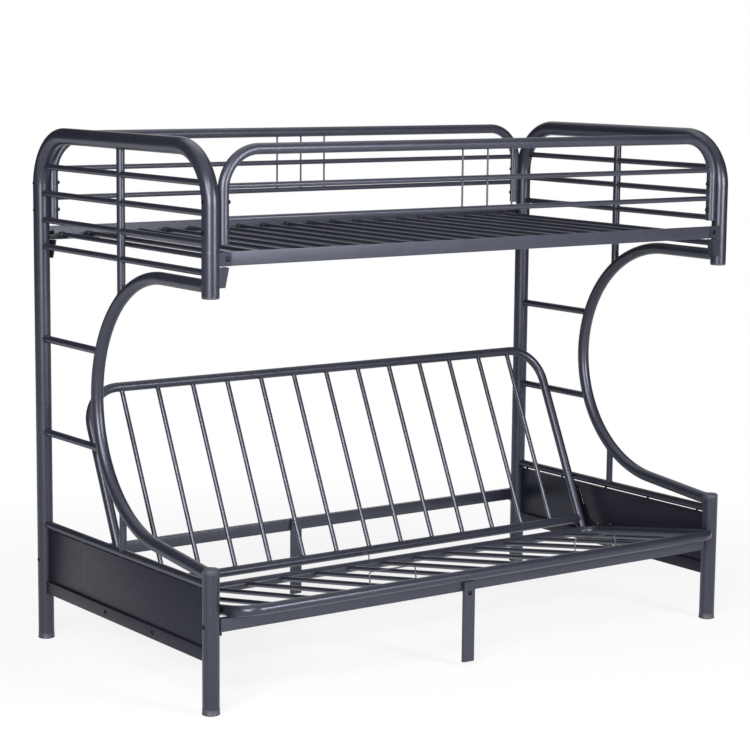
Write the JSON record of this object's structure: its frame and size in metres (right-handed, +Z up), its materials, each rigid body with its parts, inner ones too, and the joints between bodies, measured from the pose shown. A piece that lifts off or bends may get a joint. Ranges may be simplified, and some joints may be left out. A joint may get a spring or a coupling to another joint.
{
  "type": "futon bunk bed",
  "caption": "Metal bunk over a futon sofa that folds out into a wide bed, with curved ends, ladder rungs and guard rails.",
  "frame": {"origin": "on the floor, under the middle of the bed's box in the sofa position", "axes": "+X along the bed to the right as seen from the front, -Y towards the front, +Z up"},
  "size_m": [1.999, 1.1309, 1.628],
  "materials": {
    "frame_steel": "satin powder coat",
    "panel_steel": "satin powder coat",
    "rail_steel": "satin powder coat",
    "slat_steel": "satin powder coat",
    "sofa_steel": "satin powder coat",
    "gear_steel": "satin powder coat",
    "pin_steel": "zinc plated",
    "cap_plastic": "matte moulded"
  },
  "bodies": {
    "bed_frame": {"deck_slat_01": "slat_steel", "deck_slat_02": "slat_steel", "deck_slat_03": "slat_steel", "deck_slat_04": "slat_steel", "deck_slat_05": "slat_steel", "deck_slat_06": "slat_steel", "deck_slat_07": "slat_steel", "deck_slat_08": "slat_steel", "deck_slat_09": "slat_steel", "deck_slat_10": "slat_steel", "deck_slat_11": "slat_steel", "deck_slat_12": "slat_steel", "deck_slat_13": "slat_steel", "deck_slat_14": "slat_steel", "deck_slat_15": "slat_steel", "deck_slat_16": "slat_steel", "deck_slat_17": "slat_steel", "deck_slat_18": "slat_steel", "deck_slat_19": "slat_steel", "deck_slat_20": "slat_steel", "front_centre_leg": "rail_steel", "front_guard_rail": "rail_steel", "front_lower_rail": "rail_steel", "front_upper_side_rail": "rail_steel", "left_back_foot_cap": "cap_plastic", "left_back_post": "frame_steel", "left_front_foot_cap": "cap_plastic", "left_front_post": "frame_steel", "left_front_post_cap": "cap_plastic", "left_front_post_plug": "cap_plastic", "left_guard_grid": "frame_steel", "left_lower_step_frame": "frame_steel", "left_side_panel": "panel_steel", "left_swing_bracket": "gear_steel", "left_upper_hoop": "frame_steel", "left_upper_step_frame": "frame_steel", "rear_centre_leg": "rail_steel", "rear_guard_rail": "rail_steel", "rear_lower_rail": "rail_steel", "rear_upper_side_rail": "rail_steel", "right_back_foot_cap": "cap_plastic", "right_back_post": "frame_steel", "right_front_foot_cap": "cap_plastic", "right_front_post": "frame_steel", "right_front_post_cap": "cap_plastic", "right_front_post_plug": "cap_plastic", "right_guard_grid": "frame_steel", "right_lower_step_frame": "frame_steel", "right_side_panel": "panel_steel", "right_swing_bracket": "gear_steel", "right_upper_hoop": "frame_steel", "right_upper_step_frame": "frame_steel"},
    "swing_links": {"left_swing_link": "gear_steel", "left_pivot_pin": "pin_steel", "right_swing_link": "gear_steel", "right_pivot_pin": "pin_steel"},
    "seat": {"seat_frame": "sofa_steel"},
    "back": {"back_frame": "sofa_steel", "left_back_link": "gear_steel", "right_back_link": "gear_steel"}
  },
  "joints": [
    {"name": "link_swing", "type": "hinge", "parent": "bed_frame", "child": "swing_links", "pos_m": [0, -0.04234, 0.17], "axis": [1, 0, 0], "range_deg": [0, 99.69]},
    {"name": "seat_tilt", "type": "hinge", "parent": "swing_links", "child": "seat", "pos_m": [0, 0.10822, 0.22059], "axis": [1, 0, 0], "range_deg": [-90.63, 0]},
    {"name": "back_fold", "type": "hinge", "parent": "swing_links", "child": "back", "pos_m": [0, 0.10822, 0.22059], "axis": [1, 0, 0], "range_deg": [-165.96, 0]}
  ],
  "couplings": [
    {"joint": "link_swing", "follows": "back_fold", "ratio": -0.60065},
    {"joint": "seat_tilt", "follows": "back_fold", "ratio": 0.54606}
  ]
}
